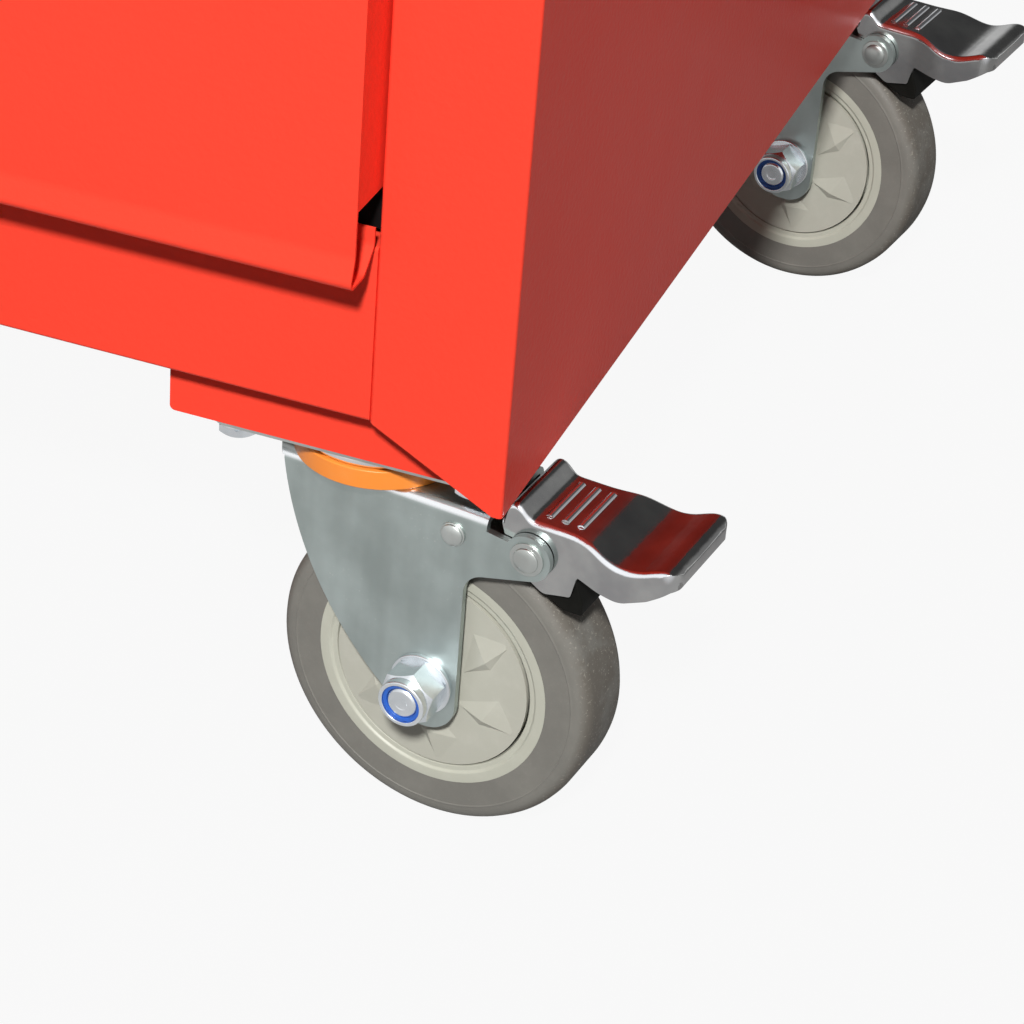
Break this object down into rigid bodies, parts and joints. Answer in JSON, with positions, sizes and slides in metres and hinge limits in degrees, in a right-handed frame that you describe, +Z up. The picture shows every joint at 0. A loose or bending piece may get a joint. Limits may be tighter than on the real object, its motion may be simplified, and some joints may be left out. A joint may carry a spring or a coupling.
{
  "type": "tool cabinet",
  "caption": "Roller tool cabinet of folded red sheet steel with drawers whose fronts are rolled at the lower edge, a side push handle and grey casters with foot brakes.",
  "frame": {"origin": "on the floor under the middle of the overall box, handle and drawer fronts included", "axes": "+X to the right seen from the front, +Y to the back, +Z up"},
  "size_m": [0.7632, 0.5717, 0.9557],
  "materials": {
    "red_paint": "glossy powder coat",
    "galvanised_steel": "satin",
    "zinc": "zinc plated",
    "chrome": "polished",
    "black_plastic": "matte",
    "black_paint": "satin",
    "black_rubber": "matte",
    "orange_plastic": "satin",
    "grey_plastic": "satin",
    "grey_tread": "matte"
  },
  "bodies": {
    "cabinet": {"right_side_panel": "red_paint", "left_side_panel": "red_paint", "back_panel": "red_paint", "floor_panel": "red_paint", "top_panel": "red_paint", "bottom_rail": "red_paint", "header_rail": "red_paint", "right_caster_channel": "red_paint", "left_caster_channel": "red_paint", "slide_uprights": "galvanised_steel", "right_slide_rails": "galvanised_steel", "left_slide_rails": "galvanised_steel", "handle_tube": "chrome", "lock_bezel": "chrome", "handle_brackets": "black_plastic", "caster_bolts": "zinc", "front_right_top_plate": "zinc", "rear_right_top_plate": "zinc", "front_left_fork": "zinc", "rear_left_fork": "zinc", "front_left_axle": "zinc", "rear_left_axle": "zinc"},
    "drawer_1": {"drawer_1_front": "red_paint", "drawer_1_tray": "black_paint", "drawer_1_runners": "galvanised_steel"},
    "drawer_2": {"drawer_2_front": "red_paint", "drawer_2_tray": "black_paint", "drawer_2_runners": "galvanised_steel"},
    "drawer_3": {"drawer_3_front": "red_paint", "drawer_3_tray": "black_paint", "drawer_3_runners": "galvanised_steel"},
    "drawer_4": {"drawer_4_front": "red_paint", "drawer_4_tray": "black_paint", "drawer_4_runners": "galvanised_steel"},
    "drawer_5": {"drawer_5_front": "red_paint", "drawer_5_tray": "black_paint", "drawer_5_runners": "galvanised_steel"},
    "lock": {"lock_cylinder": "chrome"},
    "front_right_caster": {"front_right_fork": "zinc", "front_right_seal_ring": "orange_plastic", "front_right_axle": "zinc", "front_right_brake_rivets": "zinc", "front_right_thread_guards": "grey_plastic"},
    "front_right_brake": {"front_right_brake_pedal": "chrome", "front_right_brake_shoe": "black_rubber"},
    "front_right_wheel": {"front_right_wheel_core": "grey_plastic", "front_right_tread": "grey_tread"},
    "rear_right_caster": {"rear_right_fork": "zinc", "rear_right_seal_ring": "orange_plastic", "rear_right_axle": "zinc", "rear_right_brake_rivets": "zinc", "rear_right_thread_guards": "grey_plastic"},
    "rear_right_brake": {"rear_right_brake_pedal": "chrome", "rear_right_brake_shoe": "black_rubber"},
    "rear_right_wheel": {"rear_right_wheel_core": "grey_plastic", "rear_right_tread": "grey_tread"},
    "front_left_wheel": {"front_left_wheel_core": "grey_plastic", "front_left_tread": "grey_tread"},
    "rear_left_wheel": {"rear_left_wheel_core": "grey_plastic", "rear_left_tread": "grey_tread"}
  },
  "joints": [
    {"name": "drawer_1_slide", "type": "slide", "parent": "cabinet", "child": "drawer_1", "axis": [0, -1, 0], "range_m": [0, 0.36]},
    {"name": "drawer_2_slide", "type": "slide", "parent": "cabinet", "child": "drawer_2", "axis": [0, -1, 0], "range_m": [0, 0.36]},
    {"name": "drawer_3_slide", "type": "slide", "parent": "cabinet", "child": "drawer_3", "axis": [0, -1, 0], "range_m": [0, 0.36]},
    {"name": "drawer_4_slide", "type": "slide", "parent": "cabinet", "child": "drawer_4", "axis": [0, -1, 0], "range_m": [0, 0.36]},
    {"name": "drawer_5_slide", "type": "slide", "parent": "cabinet", "child": "drawer_5", "axis": [0, -1, 0], "range_m": [0, 0.36]},
    {"name": "lock_turn", "type": "hinge", "parent": "cabinet", "child": "lock", "pos_m": [0.1996, -0.2648, 0.9075], "axis": [0, 1, 0], "range_deg": [0, 90]},
    {"name": "front_right_swivel", "type": "hinge", "parent": "cabinet", "child": "front_right_caster", "pos_m": [0.248, -0.2195, 0.154], "axis": [0, 0, 1], "continuous": true},
    {"name": "front_right_wheel_spin", "type": "hinge", "parent": "front_right_caster", "child": "front_right_wheel", "pos_m": [0.28125, -0.22358, 0.0625], "axis": [0.1219, 0.9925, 0], "continuous": true},
    {"name": "front_right_brake_press", "type": "hinge", "parent": "front_right_caster", "child": "front_right_brake", "pos_m": [0.31748, -0.22803, 0.1286], "axis": [0.1219, 0.9925, 0], "range_deg": [0, 14]},
    {"name": "rear_right_swivel", "type": "hinge", "parent": "cabinet", "child": "rear_right_caster", "pos_m": [0.248, 0.2405, 0.154], "axis": [0, 0, 1], "continuous": true},
    {"name": "rear_right_wheel_spin", "type": "hinge", "parent": "rear_right_caster", "child": "rear_right_wheel", "pos_m": [0.28114, 0.23561, 0.0625], "axis": [0.1461, 0.9893, 0], "continuous": true},
    {"name": "rear_right_brake_press", "type": "hinge", "parent": "rear_right_caster", "child": "rear_right_brake", "pos_m": [0.31725, 0.23027, 0.1286], "axis": [0.1461, 0.9893, 0], "range_deg": [0, 14]},
    {"name": "front_left_wheel_spin", "type": "hinge", "parent": "cabinet", "child": "front_left_wheel", "pos_m": [-0.3188, -0.2195, 0.0625], "axis": [0, 1, 0], "continuous": true},
    {"name": "rear_left_wheel_spin", "type": "hinge", "parent": "cabinet", "child": "rear_left_wheel", "pos_m": [-0.3188, 0.2405, 0.0625], "axis": [0, 1, 0], "continuous": true}
  ]
}
